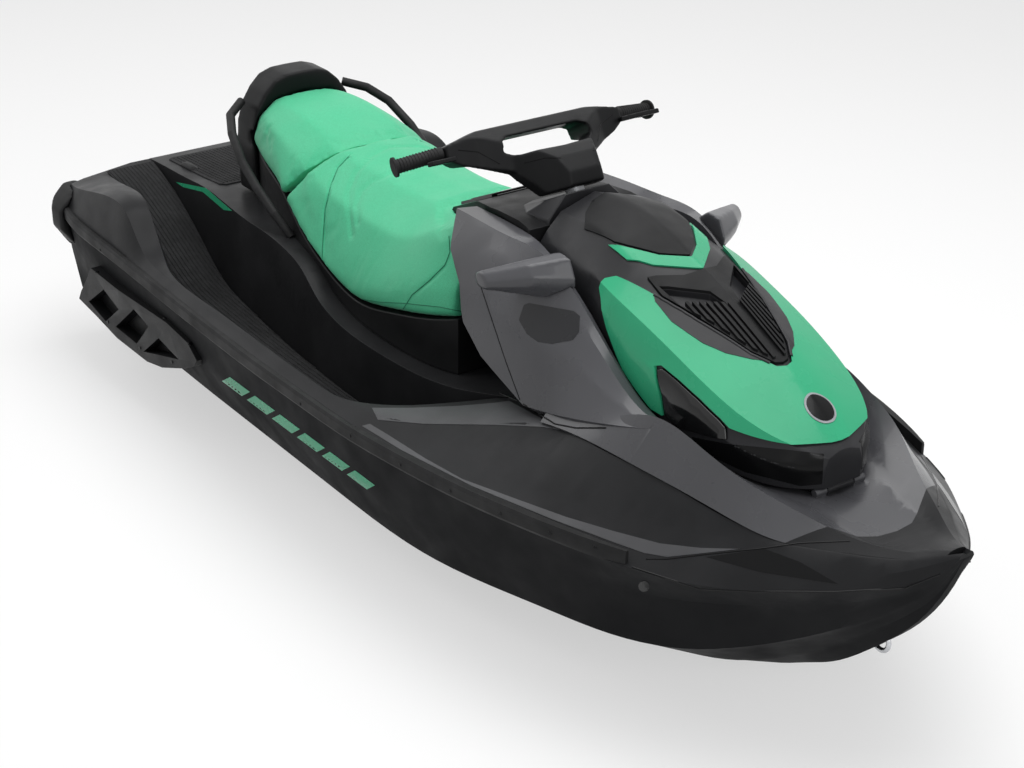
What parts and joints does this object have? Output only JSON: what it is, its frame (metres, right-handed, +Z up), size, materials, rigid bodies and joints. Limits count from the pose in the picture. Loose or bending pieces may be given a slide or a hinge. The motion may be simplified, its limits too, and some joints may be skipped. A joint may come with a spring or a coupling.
{
  "type": "personal watercraft",
  "caption": "Sit-down personal watercraft with a V hull, footwells, long padded seat, handlebar, lidded front storage and a jet pump with nozzle and reverse bucket.",
  "frame": {"origin": "on the keel at mid length, where the craft stands on its flat keel pad", "axes": "+X to the bow, +Y to port, +Z up"},
  "size_m": [3.318, 1.2552, 1.1029],
  "materials": {
    "hull": "satin gelcoat",
    "deck": "satin",
    "side_panel": "gloss",
    "bow_gloss": "gloss",
    "black_plastic": "fine grain",
    "bright": "gloss",
    "seat_cover": "coated fabric, satin",
    "rubber": "matt",
    "mat": "ribbed, matt",
    "lens": "gloss",
    "mirror_glass": "polished",
    "steel": "brushed",
    "pump_metal": "cast",
    "pump_black": "satin",
    "engine": "cast"
  },
  "bodies": {
    "craft": {"bow_deck": "bow_gloss", "bow_eye": "steel", "bow_tip": "deck", "bumper_rail": "rubber", "console": "black_plastic", "deck": "deck", "engine_block": "engine", "foot_mats": "mat", "grab_rails": "rubber", "hull": "hull", "intake_grate": "steel", "mirror_glass_left": "mirror_glass", "mirror_glass_right": "mirror_glass", "mirror_left": "side_panel", "mirror_right": "side_panel", "pump_housing": "pump_black", "ride_plate": "pump_metal", "seat_back": "black_plastic", "seat_base": "black_plastic", "seat_front": "seat_cover", "seat_rear": "seat_cover", "side_panel_left": "side_panel", "side_panel_right": "side_panel", "sponson_left": "black_plastic", "sponson_right": "black_plastic", "steering_neck": "black_plastic", "stern_bumpers": "rubber", "stern_eyes": "steel", "storage_bin": "black_plastic"},
    "handlebar": {"handlebar": "black_plastic", "steering_column": "pump_metal", "grip_left": "rubber", "grip_right": "rubber", "throttle_lever": "black_plastic", "brake_lever": "black_plastic"},
    "front_lid": {"hood_shell": "black_plastic", "hood_panel": "bright", "hood_chevron": "bright", "hood_louvres": "black_plastic", "hood_lenses": "lens"},
    "glovebox": {"glovebox_lid": "lens"},
    "nozzle": {"steering_nozzle": "pump_black"},
    "bucket": {"reverse_bucket": "pump_black"},
    "impeller": {"impeller": "steel"}
  },
  "joints": [
    {"name": "steering", "type": "hinge", "parent": "craft", "child": "handlebar", "pos_m": [0.31521, 0, 0.92985], "axis": [-0.4695, 0, 0.8829], "range_deg": [-40, 40]},
    {"name": "nozzle_steer", "type": "hinge", "parent": "craft", "child": "nozzle", "pos_m": [-1.3962, 0, 0.165], "axis": [0, 0, 1], "range_deg": [-20, 20]},
    {"name": "reverse", "type": "hinge", "parent": "craft", "child": "bucket", "pos_m": [-1.4394, 0, 0.165], "axis": [0, -1, 0], "range_deg": [0, 70]},
    {"name": "impeller_spin", "type": "hinge", "parent": "craft", "child": "impeller", "pos_m": [-1.18, 0, 0.165], "axis": [1, 0, 0], "continuous": true},
    {"name": "front_lid_hinge", "type": "hinge", "parent": "craft", "child": "front_lid", "pos_m": [1.27494, 0, 0.58502], "axis": [0, 1, 0], "range_deg": [0, 55]},
    {"name": "glovebox_hinge", "type": "hinge", "parent": "craft", "child": "glovebox", "pos_m": [0.07465, 0, 0.9038], "axis": [0, 1, 0], "range_deg": [0, 50]}
  ],
  "couplings": [
    {"joint": "nozzle_steer", "follows": "steering", "ratio": -0.5}
  ]
}
